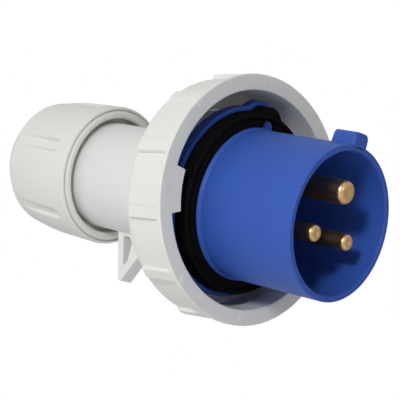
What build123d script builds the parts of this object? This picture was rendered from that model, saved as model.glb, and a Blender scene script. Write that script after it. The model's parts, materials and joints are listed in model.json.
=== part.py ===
"""Watertight industrial pin and sleeve plug with two line pins and an earth pin.

The plug lies along X. The origin is the centre of the shroud's front rim, +X points out of the
shroud towards the socket, and +Z passes through the key. Every station named ..._at is a distance
in millimetres behind the front rim, so its X is negative. Angles are clock angles in degrees, seen
from the rim's side, from +Z towards +Y.
"""
import os
from math import cos, degrees, radians, sin, tan

from build123d import *

# Shroud, its key and its foot
shroud_outer_r = 22.0
shroud_wall = 1.8
shroud_depth = 38.0
floor_thickness = 5.5
rim_round = 0.5
key_width = 6.4
key_height = 3.6
key_length = 9.8
key_back_slope = 2.0
key_corner = 1.7
key_back_chamfer = 2.2
key_front_round = 0.8
foot_fin_width = 4.6
foot_fin_height = 3.0
foot_fin_at = 34.2
fin_root = 0.7
foot_collar_height = 0.5
foot_collar_length = 2.2

# Flange that carries the gasket, with its bulge round the key
flange_overhang = 6.1
flange_rim_wall = 0.9
flange_rim_at = 37.8
flange_floor_at = 39.8
flange_back_at = 41.3
bulge_centre_step = 1.6
bulge_r = 6.8
bulge_blend = 2.5
gasket_front_at = 33.5
gasket_gap = 0.1
gasket_lip_width = 1.6
gasket_lip_height = 0.6
notch_gap = 0.5

# Spigot that turns into the housing, with its lugs and its seal, and the ledge for the carrier
ledge_height = 1.2
ledge_thickness = 1.2
carrier_gap = 0.05
spigot_step = 0.8
spigot_wall = 2.5
spigot_length = 7.6
lock_count = 3
lock_height = 0.9
lock_width = 6.0
lock_length = 2.2
lock_at = 42.3
lock_turn = 16.0
lock_clearance = 0.2
lug_root = 1.0
o_ring_at = 46.7
o_ring_section = 1.7
o_ring_squeeze_gap = 0.05
o_ring_side_gap = 0.2

# Block behind the floor that holds the terminals
core_step = 3.8
core_back_at = 56.0
pin_circle_inset = 11.45
pin_clearance = 0.05
pocket_clearance = 0.1
access_clearance = 0.3

# Pins: shank radius, tip station, terminal radius, wire bore radius, clock angle
earth_pin_r = 3.5
earth_tip_at = 0.0
earth_head_r = 5.2
earth_wire_r = 2.6
line_pin_r = 2.5
line_tip_at = 1.6
line_head_r = 4.3
line_wire_r = 2.2
line_clock = 120.0
neutral_clock = -120.0
tip_round_share = 0.45
pin_collar_step = 0.4
head_at = 46.0
wire_bore_depth = 9.0
terminal_screw_at = 51.0
terminal_screw_r = 2.0
terminal_screw_clearance = 0.05
terminal_head_r = 2.9
terminal_head_height = 2.0
terminal_stand_off = 0.4
slot_width = 0.8
slot_depth = 0.9
wire_plate_thickness = 0.8
wire_plate_length = 6.4
wire_plate_width = 3.0
wire_plate_gap = 0.1
wire_hole_clearance = 0.6
cross_slot_length = 3.0

# Plate and screws that keep the terminals in the block
retainer_thickness = 2.2
retainer_inset = 0.3
retainer_screw_inset = 3.9
retainer_screw_r = 1.45
retainer_screw_length = 9.0
retainer_screw_head_r = 2.7
retainer_screw_head_height = 1.7
screw_hole_clearance = 0.05
screw_tip_room = 0.5
screw_count = 3

# Rear housing: neck under the ring, shoulder, cone, collar, tube and threaded end
mouth_clearance = 0.1
neck_wall = 2.6
shoulder_at = 52.0
shoulder_step = 2.0
shoulder_length = 2.5
shoulder_front_round = 0.6
shoulder_back_round = 1.2
cone_end_at = 65.0
collar_r = 17.3
collar_length = 3.5
collar_step_length = 0.5
cone_foot_round = 3.0
tube_r = 16.75
tube_wall = 2.3
inner_cone_offset = 0.77
thread_at = 94.6
thread_depth = 0.45
thread_run_in = 0.5
housing_end_at = 108.0
claw_seat_depth = 7.0
claw_seat_wall = 3.0
claw_seat_clearance = 0.1
seat_lip = 4.0

# Loop for the cap's cord, under the housing opposite the key
loop_thickness = 4.9
loop_height = 14.65
loop_tip_at = 75.0
loop_tip_width = 1.2
loop_rear_foot_at = 81.6
loop_front_foot_at = 65.8
loop_rear_leg = 2.3
loop_hole_foot = 1.0
loop_hole_front_at = 74.2
loop_hole_share = 0.63
loop_slope_share = 0.26
loop_corner_share = 0.173
loop_round = 0.5

# Bayonet ring, and the way it rests tipped on its play
ring_front_at = 31.1
ring_length = 17.2
ring_lip_height = 1.1
ring_lip_length = 1.5
ring_lip_slope = 0.4
ring_wall = 3.6
ring_taper = 0.4
ring_corner = 3.2
ring_bore_clearance = 3.6
ring_flange_thickness = 2.5
ring_hole_clearance = 0.8
ring_edge_round = 0.4
rib_count = 12
rib_width = 3.5
rib_front_gap = 0.6
rib_end_gap = 3.4
rib_end_slope = 1.2
rib_below_lip = 0.05
rib_root = 1.2
rib_round = 0.6
rib_phase = -107.3
lug_count = 2
lug_clearance = 0.55
lug_overlap = 0.6
lug_span = 23.6
lug_thickness = 3.5
lug_phase = -95.8
ring_pivot_at = 47.4
ring_tip = 7.0
ring_tip_clock = -45.0

# Gland nut
nut_front_at = 90.6
nut_end_at = 124.0
nut_mouth_clearance = 1.55
nut_lip_width = 2.5
nut_lip_round = 1.15
nut_lip_groove_width = 0.35
nut_lip_groove_depth = 1.3
nut_lip_proud = 0.6
nut_wall = 5.25
nut_front_round = 0.8
nut_crease_at = 109.0
nut_crease_drop = 0.5
nut_crease_round = 60.0
nut_shoulder_at = 119.0
nut_shoulder_drop = 2.1
nut_end_drop = 5.8
nut_end_round = 4.2
nut_face_round = 1.6
nut_mouth_depth = 4.8
nut_thread_clearance = 0.06
nut_chamber_gap = 0.5
nut_chamber_step = 2.0
nut_wall_at = 119.1
nut_hole_step = 0.6
nut_hole_round = 1.0
flute_count = 6
flute_width = 3.5
flute_floor_drop = 1.55
flute_cut = 5.0
flute_front_at = 97.0
flute_phase = -18.0

# Clamping parts inside the nut
claw_wall = 3.4
claw_end_at = 117.5
claw_tip_wall = 1.8
claw_slot_count = 10
claw_slot_width = 1.2
claw_slot_front_at = 106.4
seal_wall = 3.2
seal_round = 1.0
seal_gap = 0.1
seal_end_at = 116.0
clamp_front_at = 109.0
clamp_end_at = 118.7
clamp_outer_gap = 0.3
clamp_cone_gap = 0.35

# Radii that follow from the shroud's and the tube's
shroud_inner_r = shroud_outer_r - shroud_wall
flange_r = shroud_outer_r + flange_overhang
bulge_centre_r = shroud_outer_r + bulge_centre_step
spigot_r = shroud_outer_r + spigot_step
seat_r = spigot_r - spigot_wall
ledge_r = shroud_inner_r - ledge_height
core_r = seat_r - core_step
pin_circle_r = shroud_inner_r - pin_circle_inset
retainer_screw_circle_r = core_r - retainer_screw_inset
mouth_r = spigot_r + mouth_clearance
neck_r = mouth_r + neck_wall
shoulder_r = neck_r + shoulder_step
ring_bore_r = flange_r + ring_bore_clearance
ring_body_r = ring_bore_r + ring_wall
ring_lip_r = ring_body_r + ring_lip_height
lug_inner_r = flange_r + lug_clearance
thread_r = tube_r - thread_depth
claw_seat_r = thread_r - claw_seat_wall
claw_outer_r = claw_seat_r - claw_seat_clearance
claw_bore_r = claw_outer_r - claw_wall
claw_tip_r = claw_bore_r + claw_tip_wall
seal_bore_r = claw_bore_r - seal_gap - seal_wall
loop_tip_r = tube_r + loop_height
nut_mouth_r = tube_r + nut_mouth_clearance
nut_lip_r = nut_mouth_r + nut_lip_width
nut_front_r = tube_r + nut_wall
nut_crease_r = nut_front_r - nut_crease_drop
nut_shoulder_r = nut_front_r - nut_shoulder_drop
nut_face_r = nut_front_r - nut_end_drop
nut_hole_r = claw_bore_r - nut_hole_step
nut_chamber_r = claw_outer_r + nut_chamber_step
flute_floor_r = nut_front_r - flute_floor_drop

# Stations that follow from others
floor_back_at = shroud_depth + floor_thickness
ledge_back_at = shroud_depth + ledge_thickness
spigot_end_at = flange_back_at + spigot_length
claw_front_at = housing_end_at - claw_seat_depth
screw_clocks = [360.0 / screw_count * (i + 0.5) for i in range(screw_count)]


def turned(outline, rounds=()):
    """Solid of revolution about X from (distance behind the rim, radius) corners."""
    face = make_face(Polyline(*[(-at, r) for at, r in outline], close=True))
    for (at, r), radius in rounds:
        corner = face.vertices().sort_by_distance((-at, r, 0))[0]
        face = fillet(corner, radius)
    return revolve(Plane.XZ * face, Axis.X, 360)


def plate(outline, front_at, back_at):
    """Flat outline seen from the rim (first axis Y, second axis Z), between two stations."""
    return extrude(Plane.YZ.offset(-back_at) * outline, back_at - front_at, dir=(1, 0, 0))


def clocked(shape, clock):
    """Turn a shape from the key's side to a clock angle."""
    return shape.rotate(Axis.X, -clock)


def rod(r, front_at, back_at, clock=0.0, circle_r=0.0):
    """Round bar along X at a clock angle and a distance from the axis."""
    bar = plate(Circle(r), front_at, back_at)
    return clocked(Pos(0, 0, circle_r) * bar, clock)


def post(r, at, low, high, clock):
    """Round bar that points outwards from the axis at one station."""
    bar = Pos(-at, 0, low) * Cylinder(r, high - low, align=(Align.CENTER, Align.CENTER, Align.MIN))
    return clocked(bar, clock)


def keyed_outline(r, bulge):
    """Circle with the rounded bulge that goes round the key's foot, blended at its waists."""
    to_rim = r + bulge_blend
    to_bulge = bulge + bulge_blend
    waist_z = (to_rim ** 2 - to_bulge ** 2 + bulge_centre_r ** 2) / (2 * bulge_centre_r)
    waist_y = (to_rim ** 2 - waist_z ** 2) ** 0.5
    web = Polygon((0, 0), (waist_y, waist_z), (0, bulge_centre_r), (-waist_y, waist_z), align=None)
    outline = Circle(r) + Pos(0, bulge_centre_r) * Circle(bulge) + web
    for side in (-1, 1):
        outline -= Pos(side * waist_y, waist_z) * Circle(bulge_blend)
    return outline


def foot_outline(grow):
    """Arch of the small fin at the shroud's foot, grown by a gap."""
    half = foot_fin_width / 2 + grow
    centre = shroud_outer_r + foot_fin_height - foot_fin_width / 2
    foot = shroud_outer_r - shroud_wall / 2
    post_part = Pos(0, (foot + centre) / 2) * Rectangle(2 * half, centre - foot)
    return post_part + Pos(0, centre) * Circle(half)


def ring_sector(inner_r, outer_r, span, clock):
    """Flat sector of a ring, in the outline's own plane, centred on a clock angle."""
    reach = 2 * outer_r
    half = radians(span / 2)
    wedge = Polygon((0, 0), (-reach * tan(half), reach), (reach * tan(half), reach), align=None)
    return (Circle(outer_r) - Circle(inner_r)) & Rot(0, 0, -clock) * wedge


def make_key():
    """Key on the rim: rounded front and shoulders, and a chamfered, sloping back."""
    top = shroud_outer_r + key_height
    foot = shroud_outer_r - shroud_wall / 2
    half = key_width / 2
    side = Polygon((0, foot), (0, top), (key_back_slope - key_length, top), (-key_length, foot),
                   align=None)
    block = extrude(Plane.XZ * side, half, both=True)
    plan = Polygon((0, -half), (0, half), (-key_length, half), (-key_length, -half), align=None)
    plan = chamfer(plan.vertices().group_by(Axis.X)[0], key_back_chamfer)
    plan = fillet(plan.vertices().group_by(Axis.X)[-1], key_front_round)
    block &= extrude(plan, 2 * top)
    front = Polygon((-half, 0), (-half, top), (half, top), (half, 0), align=None)
    front = fillet(front.vertices().group_by(Axis.Y)[-1], key_corner)
    return block & plate(front, 0, key_length)


def make_lock_lugs(grow, front_at, back_at, span_turn=0.0):
    """Lugs on the spigot, or with a gap and a turn the space they sweep in the housing."""
    height = lock_height + grow
    span = degrees((lock_width + 2 * grow) / spigot_r) + span_turn
    sector = ring_sector(spigot_r - lug_root, spigot_r + height, span, span_turn / 2)
    lug = plate(sector, front_at, back_at)
    return [clocked(lug, 360.0 / lock_count * (i + 0.5)) for i in range(lock_count)]


def make_shroud():
    """Sleeve with its key, gasket flange and spigot, moulded in one."""
    foot_r = shroud_outer_r + foot_collar_height
    collar_front_at = gasket_front_at - foot_collar_length / 2
    body = turned([
        (0, shroud_inner_r), (0, shroud_outer_r),
        (collar_front_at, shroud_outer_r), (gasket_front_at, foot_r),
        (flange_back_at, foot_r), (flange_back_at, spigot_r),
        (spigot_end_at, spigot_r), (spigot_end_at, seat_r),
        (ledge_back_at, seat_r), (ledge_back_at, ledge_r), (shroud_depth, ledge_r),
        (shroud_depth, shroud_inner_r),
    ], [((0, shroud_outer_r), rim_round), ((0, shroud_inner_r), rim_round)])
    body += plate(keyed_outline(flange_r, bulge_r) - Circle(shroud_outer_r - foot_collar_height),
                  flange_rim_at, flange_back_at)
    channel = keyed_outline(flange_r - flange_rim_wall, bulge_r - flange_rim_wall)
    body -= plate(channel - Circle(foot_r), flange_rim_at, flange_floor_at)
    body += plate(foot_outline(0), foot_fin_at, flange_back_at - fin_root)
    body += make_key()
    for lug in make_lock_lugs(0, lock_at, lock_at + lock_length):
        body += lug
    groove_half = o_ring_section / 2 + o_ring_side_gap
    groove_r = mouth_r - o_ring_section - 2 * o_ring_squeeze_gap
    body -= turned([(o_ring_at - groove_half, groove_r), (o_ring_at - groove_half, mouth_r),
                    (o_ring_at + groove_half, mouth_r), (o_ring_at + groove_half, groove_r)])
    return body


def make_pin_carrier():
    """Insert that holds the pins and their terminals, pushed against the shroud's ledge."""
    body = turned([
        (shroud_depth, 0), (shroud_depth, ledge_r - carrier_gap), (ledge_back_at, ledge_r - carrier_gap),
        (ledge_back_at, seat_r - carrier_gap), (floor_back_at, seat_r - carrier_gap),
        (floor_back_at, core_r), (core_back_at, core_r), (core_back_at, 0)])
    for spec in pin_specs().values():
        collar_hole_r = spec["pin_r"] + pin_collar_step + pin_clearance
        body -= rod(collar_hole_r, shroud_depth, head_at, spec["clock"], pin_circle_r)
        body -= rod(spec["head_r"] + pocket_clearance, head_at, core_back_at,
                    spec["clock"], pin_circle_r)
        body -= post(terminal_head_r + access_clearance, terminal_screw_at,
                     pin_circle_r, 2 * core_r, spec["clock"])
    hole_front_at = core_back_at + retainer_thickness - retainer_screw_length - screw_tip_room
    for clock in screw_clocks:
        body -= rod(retainer_screw_r + screw_hole_clearance, hole_front_at,
                    core_back_at, clock, retainer_screw_circle_r)
    return body


def make_flange_gasket():
    """Rubber ring in the flange's channel, standing proud, with a lip and a notch for the fin."""
    grow = gasket_gap
    inner_r = shroud_outer_r + foot_collar_height + grow
    outer_r = flange_r - flange_rim_wall - grow
    outline = keyed_outline(outer_r, bulge_r - flange_rim_wall - grow)
    body = plate(outline - Circle(inner_r), gasket_front_at, flange_floor_at)
    body -= plate(foot_outline(notch_gap), gasket_front_at, flange_floor_at)
    recess = Circle(outer_r - gasket_lip_width) - Circle(inner_r + gasket_lip_width)
    body -= plate(recess, gasket_front_at, gasket_front_at + gasket_lip_height)
    return body


def pin_specs():
    """Sizes of the three pins by name."""
    specs = {"earth": dict(pin_r=earth_pin_r, tip_at=earth_tip_at, head_r=earth_head_r,
                           wire_r=earth_wire_r, clock=0.0)}
    for name, clock in (("line", line_clock), ("neutral", neutral_clock)):
        specs[name] = dict(pin_r=line_pin_r, tip_at=line_tip_at, head_r=line_head_r,
                           wire_r=line_wire_r, clock=clock)
    return specs


def make_pin(spec):
    """Turned brass pin with a rounded tip and a drilled and tapped terminal end."""
    tip_round = spec["pin_r"] * tip_round_share
    pin_collar_r = spec["pin_r"] + pin_collar_step
    body = turned([(spec["tip_at"], 0), (spec["tip_at"], spec["pin_r"]), (shroud_depth, spec["pin_r"]),
                   (shroud_depth, pin_collar_r), (head_at, pin_collar_r),
                   (head_at, spec["head_r"]), (core_back_at, spec["head_r"]), (core_back_at, 0)],
                  [((spec["tip_at"], spec["pin_r"]), tip_round)])
    body = Pos(0, 0, pin_circle_r) * body
    body -= rod(spec["wire_r"], core_back_at - wire_bore_depth, core_back_at, 0, pin_circle_r)
    body -= post(terminal_screw_r + terminal_screw_clearance, terminal_screw_at,
                 pin_circle_r, pin_circle_r + 2 * spec["head_r"], 0)
    return clocked(body, spec["clock"])


def plate_top(spec):
    """Height above the pin's axis where the wire plate fits across the round bore."""
    return (spec["wire_r"] ** 2 - (wire_plate_width / 2) ** 2) ** 0.5 - wire_plate_gap


def make_wire_plate(spec):
    """Small plate between the screw's tip and the wire."""
    top = pin_circle_r + plate_top(spec)
    body = Pos(-terminal_screw_at, 0, top - wire_plate_thickness / 2) * Box(
        wire_plate_length, wire_plate_width, wire_plate_thickness)
    return clocked(body, spec["clock"])


def make_terminal_screw(spec):
    """Slotted screw that clamps the wire plate."""
    tip = pin_circle_r + plate_top(spec)
    seat = pin_circle_r + spec["head_r"] + terminal_stand_off
    top = seat + terminal_head_height
    body = post(terminal_screw_r, terminal_screw_at, tip, seat, 0)
    body += post(terminal_head_r, terminal_screw_at, seat, top, 0)
    slot = Box(slot_width, 3 * terminal_head_r, slot_depth)
    body -= Pos(-terminal_screw_at, 0, top - slot_depth / 2) * slot
    return clocked(body, spec["clock"])


def make_pin_retainer():
    """Plate on the block's back that keeps the terminals in, open for the wires."""
    end_at = core_back_at + retainer_thickness
    body = plate(Circle(core_r - retainer_inset), core_back_at, end_at)
    for spec in pin_specs().values():
        body -= rod(spec["wire_r"] + wire_hole_clearance, core_back_at, end_at, spec["clock"], pin_circle_r)
    for clock in screw_clocks:
        body -= rod(retainer_screw_r + 2 * screw_hole_clearance, core_back_at, end_at,
                    clock, retainer_screw_circle_r)
    return body


def make_retainer_screw(clock):
    """Cross-slotted pan head screw through the retainer plate."""
    seat_at = core_back_at + retainer_thickness
    head_end_at = seat_at + retainer_screw_head_height
    body = plate(Circle(retainer_screw_r), seat_at - retainer_screw_length, seat_at)
    body += plate(Circle(retainer_screw_head_r), seat_at, head_end_at)
    for width, height in ((slot_width, cross_slot_length), (cross_slot_length, slot_width)):
        body -= plate(Rectangle(width, height), head_end_at - slot_depth, head_end_at)
    return clocked(Pos(0, 0, retainer_screw_circle_r) * body, clock)


def make_rear_housing():
    """Neck, shoulder, cone, tube and threaded end in one moulding, with the cord loop."""
    cone_at = shoulder_at + shoulder_length
    collar_end_at = cone_end_at + collar_length
    inner_tube_r = tube_r - tube_wall
    slope = (shoulder_r - collar_r) / (cone_end_at - cone_at)
    inner_cone_at = cone_at + inner_cone_offset
    inner_cone_end_at = inner_cone_at + (mouth_r - inner_tube_r) / slope
    seat_back_at = claw_front_at - seat_lip
    body = turned([
        (flange_back_at, mouth_r), (flange_back_at, neck_r), (shoulder_at, neck_r),
        (shoulder_at, shoulder_r), (cone_at, shoulder_r), (cone_end_at, collar_r),
        (collar_end_at, collar_r), (collar_end_at + collar_step_length, tube_r), (thread_at, tube_r),
        (thread_at + thread_run_in, thread_r), (housing_end_at, thread_r), (housing_end_at, claw_seat_r),
        (claw_front_at, claw_seat_r), (claw_front_at, claw_bore_r), (seat_back_at, claw_bore_r),
        (seat_back_at - seat_lip, inner_tube_r), (inner_cone_end_at, inner_tube_r),
        (inner_cone_at, mouth_r),
    ], [((cone_end_at, collar_r), cone_foot_round), ((shoulder_at, shoulder_r), shoulder_front_round),
        ((cone_at, shoulder_r), shoulder_back_round)])
    body += make_cord_loop()
    for lug in make_lock_lugs(lock_clearance, lock_at - lock_clearance,
                              lock_at + lock_length + lock_clearance, lock_turn):
        body -= lug
    for lug in make_lock_lugs(lock_clearance, flange_back_at, lock_at + lock_length):
        body -= clocked(lug, lock_turn)
    return body


def make_cord_loop():
    """Pierced fin that ties the protective cap's cord, in the plane of the key."""
    base_r = tube_r - tube_wall / 2
    outline = make_face(Polyline(
        (-loop_rear_foot_at, base_r), (-loop_tip_at - loop_tip_width, loop_tip_r),
        (-loop_tip_at, loop_tip_r), (-loop_front_foot_at, base_r), close=True))
    tips = outline.vertices().group_by(Axis.Y)[-1]
    outline = fillet(tips, loop_round)
    rise = loop_tip_r - base_r
    rear_run = (loop_rear_foot_at - loop_tip_at - loop_tip_width) / rise
    hole_foot_r = tube_r + loop_hole_foot
    hole_height = loop_height * loop_hole_share
    hole_top_r = hole_foot_r + hole_height
    corner = hole_height * loop_corner_share

    def rear_edge(r):
        return loop_rear_foot_at - (r - base_r) * rear_run - loop_rear_leg

    hole = make_face(Polyline(
        (-rear_edge(hole_foot_r), hole_foot_r), (-rear_edge(hole_top_r), hole_top_r),
        (-loop_hole_front_at, hole_top_r - hole_height * loop_slope_share),
        (-loop_hole_front_at, hole_foot_r + corner),
        (-loop_hole_front_at - corner, hole_foot_r), close=True))
    hole = fillet(hole.vertices(), loop_round)
    fin = extrude(Plane.XZ * (outline - hole), loop_thickness / 2, both=True)
    return clocked(fin, 180)


def make_housing_o_ring():
    """Round rubber seal in the spigot's groove."""
    centre_r = mouth_r - o_ring_squeeze_gap - o_ring_section / 2
    profile = Pos(-o_ring_at, centre_r) * Circle(o_ring_section / 2)
    return revolve(Plane.XZ * profile, Axis.X, 360)


def make_bayonet_ring():
    """Coupling ring with grip ribs outside and two lugs inside, tipped on its play."""
    hole_r = neck_r + ring_hole_clearance
    rear_r = ring_body_r - ring_taper
    front = ring_front_at
    rear = front + ring_length
    body = turned([
        (front, ring_bore_r), (front, ring_lip_r), (front + ring_lip_length, ring_lip_r),
        (front + ring_lip_length + ring_lip_slope, ring_body_r), (rear, rear_r), (rear, hole_r),
        (rear - ring_flange_thickness, hole_r), (rear - ring_flange_thickness, ring_bore_r),
    ], [((front, ring_lip_r), ring_edge_round), ((front, ring_bore_r), ring_edge_round),
        ((rear, rear_r), ring_corner)])
    rib_front = front + rib_front_gap
    rib_end = rear - rib_end_gap
    rib_r = ring_lip_r - rib_below_lip
    root_r = ring_body_r - rib_root
    band = turned([(rib_front, root_r), (rib_front, rib_r), (rib_end, rib_r),
                   (rib_end + rib_end_slope, root_r)], [((rib_end, rib_r), rib_round)])
    for i in range(rib_count):
        bar = Pos(-(front + rear) / 2, 0, rib_r) * Box(2 * ring_length, rib_width, 2 * ring_wall)
        body += band & clocked(bar, rib_phase + 360.0 / rib_count * i)
    for i in range(lug_count):
        sector = ring_sector(lug_inner_r, ring_bore_r + lug_overlap, lug_span,
                             lug_phase + 360.0 / lug_count * i)
        body += plate(sector, front, front + lug_thickness)
    across = radians(ring_tip_clock)
    tip_axis = Axis((-ring_pivot_at, 0, 0), (0, -cos(across), sin(across)))
    return body.rotate(tip_axis, ring_tip)


def make_gland_nut():
    """Cap nut with a rolled front lip, flutes round its rear half and a heavily rounded end."""
    chamber_front_at = housing_end_at + nut_chamber_gap
    groove_floor_at = nut_front_at + nut_lip_groove_depth
    groove_end_r = nut_lip_r + nut_lip_groove_width
    shell_front_at = nut_front_at + nut_lip_proud
    thread_front_at = nut_front_at + nut_mouth_depth
    thread_bore_r = thread_r + nut_thread_clearance
    body = turned([
        (nut_front_at, nut_mouth_r), (nut_front_at, nut_lip_r), (groove_floor_at, nut_lip_r),
        (groove_floor_at, groove_end_r), (shell_front_at, groove_end_r), (shell_front_at, nut_front_r),
        (nut_crease_at, nut_crease_r), (nut_shoulder_at, nut_shoulder_r), (nut_end_at, nut_face_r),
        (nut_end_at, nut_hole_r), (nut_wall_at, nut_hole_r), (nut_wall_at, nut_chamber_r),
        (chamber_front_at, nut_chamber_r), (chamber_front_at, thread_bore_r),
        (thread_front_at, thread_bore_r), (thread_front_at, nut_mouth_r),
    ], [((nut_front_at, nut_lip_r), nut_lip_round), ((nut_front_at, nut_mouth_r), nut_lip_round),
        ((shell_front_at, nut_front_r), nut_front_round),
        ((nut_crease_at, nut_crease_r), nut_crease_round),
        ((nut_shoulder_at, nut_shoulder_r), nut_end_round),
        ((nut_end_at, nut_face_r), nut_face_round), ((nut_end_at, nut_hole_r), nut_hole_round)])
    length = nut_end_at - flute_front_at
    for i in range(flute_count):
        bar = Pos(-flute_front_at - length, 0, flute_floor_r + flute_cut / 2) * Box(
            2 * length, flute_width, flute_cut)
        body -= clocked(bar, flute_phase + 360.0 / flute_count * i)
    return body


def make_gland_claw():
    """Ring of spring fingers that the nut's clamp ring squeezes onto the cord."""
    body = turned([
        (claw_front_at, claw_bore_r), (claw_front_at, claw_outer_r), (housing_end_at, claw_outer_r),
        (claw_end_at, claw_tip_r), (claw_end_at, claw_bore_r)])
    length = claw_end_at - claw_slot_front_at
    for i in range(claw_slot_count):
        bar = Pos(-claw_slot_front_at - length, 0, claw_outer_r) * Box(
            2 * length, claw_slot_width, claw_outer_r)
        body -= clocked(bar, 360.0 / claw_slot_count * (i + 0.5))
    return body


def make_gland_seal():
    """Rubber sleeve that closes on the cord inside the claw."""
    outer_r = claw_bore_r - seal_gap
    return turned([(claw_front_at, seal_bore_r), (claw_front_at, outer_r), (seal_end_at, outer_r),
                   (seal_end_at, seal_bore_r)],
                  [((seal_end_at, seal_bore_r), seal_round)])


def make_clamp_ring():
    """Slip ring between nut and claw, with the cone that closes the fingers."""
    slope = (claw_outer_r - claw_tip_r) / (claw_end_at - housing_end_at)
    front_r = claw_outer_r - slope * (clamp_front_at - housing_end_at) + clamp_cone_gap
    end_r = claw_outer_r - slope * (clamp_end_at - housing_end_at) + clamp_cone_gap
    outer_r = nut_chamber_r - clamp_outer_gap
    return turned([(clamp_front_at, front_r), (clamp_front_at, outer_r), (clamp_end_at, outer_r),
                   (clamp_end_at, end_r)])


def make_nodes():
    """Every piece by its node name."""
    nodes = {
        "rear_housing": make_rear_housing(),
        "housing_o_ring": make_housing_o_ring(),
        "bayonet_ring": make_bayonet_ring(),
        "shroud": make_shroud(),
        "pin_carrier": make_pin_carrier(),
        "flange_gasket": make_flange_gasket(),
        "pin_retainer": make_pin_retainer(),
        "gland_nut": make_gland_nut(),
        "clamp_ring": make_clamp_ring(),
        "gland_claw": make_gland_claw(),
        "gland_seal": make_gland_seal(),
    }
    for name, spec in pin_specs().items():
        nodes[name + "_pin"] = make_pin(spec)
        nodes[name + "_wire_plate"] = make_wire_plate(spec)
        nodes[name + "_terminal_screw"] = make_terminal_screw(spec)
    for i, clock in enumerate(screw_clocks):
        nodes[f"retainer_screw_{i + 1}"] = make_retainer_screw(clock)
    return nodes


os.makedirs("parts", exist_ok=True)
for node_name, solid in make_nodes().items():
    export_step(solid, f"parts/{node_name}.step")
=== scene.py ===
# Watertight industrial plug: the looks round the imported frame.
# Sizes are in millimetres: "at" is the distance behind the shroud's rim, "r" that from the axis.
# Clock angles are in degrees, from the key's side (+Z) towards +Y.
import json
import math
from types import SimpleNamespace

import bmesh
import bpy
from mathutils import Matrix, Vector


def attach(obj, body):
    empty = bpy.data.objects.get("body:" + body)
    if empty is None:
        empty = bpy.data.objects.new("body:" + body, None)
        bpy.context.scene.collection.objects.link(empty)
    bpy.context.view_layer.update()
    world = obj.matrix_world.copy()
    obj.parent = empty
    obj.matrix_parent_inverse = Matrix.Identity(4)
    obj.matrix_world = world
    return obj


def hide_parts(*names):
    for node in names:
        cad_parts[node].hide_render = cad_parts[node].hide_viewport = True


mm = 0.001
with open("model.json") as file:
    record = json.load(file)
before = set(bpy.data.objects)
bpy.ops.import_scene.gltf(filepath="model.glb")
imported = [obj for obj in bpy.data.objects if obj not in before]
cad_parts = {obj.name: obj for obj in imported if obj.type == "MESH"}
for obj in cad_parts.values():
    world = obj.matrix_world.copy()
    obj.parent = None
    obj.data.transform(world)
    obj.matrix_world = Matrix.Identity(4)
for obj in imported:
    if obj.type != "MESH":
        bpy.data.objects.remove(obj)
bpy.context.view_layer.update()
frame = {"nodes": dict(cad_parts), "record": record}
nodes = frame["nodes"]
print("stage: frame loaded,", len(nodes), "nodes")


# a settings dictionary read as size.front instead of size["front"]
def named(settings):
    return SimpleNamespace(**settings)


def linked(name, data):
    obj = bpy.data.objects.new(name, data)
    bpy.context.scene.collection.objects.link(obj)
    return obj


cameraSettings = {
    "place": (229.267, -309.500, -16.361),
    "right": (0.722350, 0.647638, 0.242438),
    "up": (-0.156434, -0.188460, 0.969542),
    "back": (0.673602, -0.738274, -0.034821),
    "lens": 126.0, "sensor": 36.0, "nearest": 0.01,
}
cameraRight = Vector(cameraSettings["right"])
cameraUp = Vector(cameraSettings["up"])
cameraBack = Vector(cameraSettings["back"])
cameraData = bpy.data.cameras.new("photoCamera")
cameraData.lens = cameraSettings["lens"]
cameraData.sensor_width = cameraSettings["sensor"]
cameraData.clip_start = cameraSettings["nearest"]
camera = linked("photoCamera", cameraData)
turn = Matrix((cameraRight, cameraUp, cameraBack)).transposed().to_4x4()
camera.matrix_world = Matrix.Translation(Vector(cameraSettings["place"]) * mm) @ turn
bpy.context.scene.camera = camera
print("stage: camera placed")


# a socket is linked to this one, a number or colour is set on it
def feed(tree, value, socket):
    if isinstance(value, bpy.types.NodeSocket):
        tree.links.new(value, socket)
    else:
        socket.default_value = value


# a node with its settings made first, and then its inputs
def addNode(tree, kind, inputs=None, **settings):
    node = tree.nodes.new(kind)
    for key, value in settings.items():
        setattr(node, key, value)
    for key, value in (inputs or {}).items():
        feed(tree, value, node.inputs[key])
    return node


def addSocket(tree, name, kind, side="INPUT"):
    return tree.interface.new_socket(name=name, in_out=side, socket_type="NodeSocket" + kind)


def newGroup(name, inputs, outputs):
    tree = bpy.data.node_groups.new(name, "ShaderNodeTree")
    for socketName, value in inputs:
        kind = "Color" if isinstance(value, tuple) else "Float"
        addSocket(tree, socketName, kind).default_value = value
    for socketName in outputs:
        addSocket(tree, socketName, "Color" if socketName == "Color" else "Float", "OUTPUT")
    return tree, addNode(tree, "NodeGroupInput").outputs, addNode(tree, "NodeGroupOutput").inputs


def objectPlace(tree):
    return addNode(tree, "ShaderNodeTexCoord").outputs["Object"]


def noiseNode(tree, vector, scale, detail, rough):
    values = {"Vector": vector, "Scale": scale, "Detail": detail, "Roughness": rough}
    return addNode(tree, "ShaderNodeTexNoise", values).outputs["Fac"]


def mathNode(tree, operation, *values):
    return addNode(tree, "ShaderNodeMath", dict(enumerate(values)), operation=operation).outputs[0]


# values are the number itself, its low and high, and what these become
def spread(tree, *values):
    return addNode(tree, "ShaderNodeMapRange", dict(enumerate(values)),
                   interpolation_type="SMOOTHSTEP").outputs[0]


def mixColours(tree, share, a, b):
    values = {"Factor": share, "A": a, "B": b}
    return addNode(tree, "ShaderNodeMix", values, data_type="RGBA").outputs["Result"]


skinMarks = {
    "grainDetail": 2.0, "grainRough": 0.5, "flowDetail": 4.0, "flowRough": 0.6,
    "patchLow": 0.3, "patchHigh": 0.7, "speckLow": 0.35, "speckHigh": 0.65,
    "shadeShare": 0.6, "speckGloss": 0.03, "flowHeight": 3.0,
}


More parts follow.
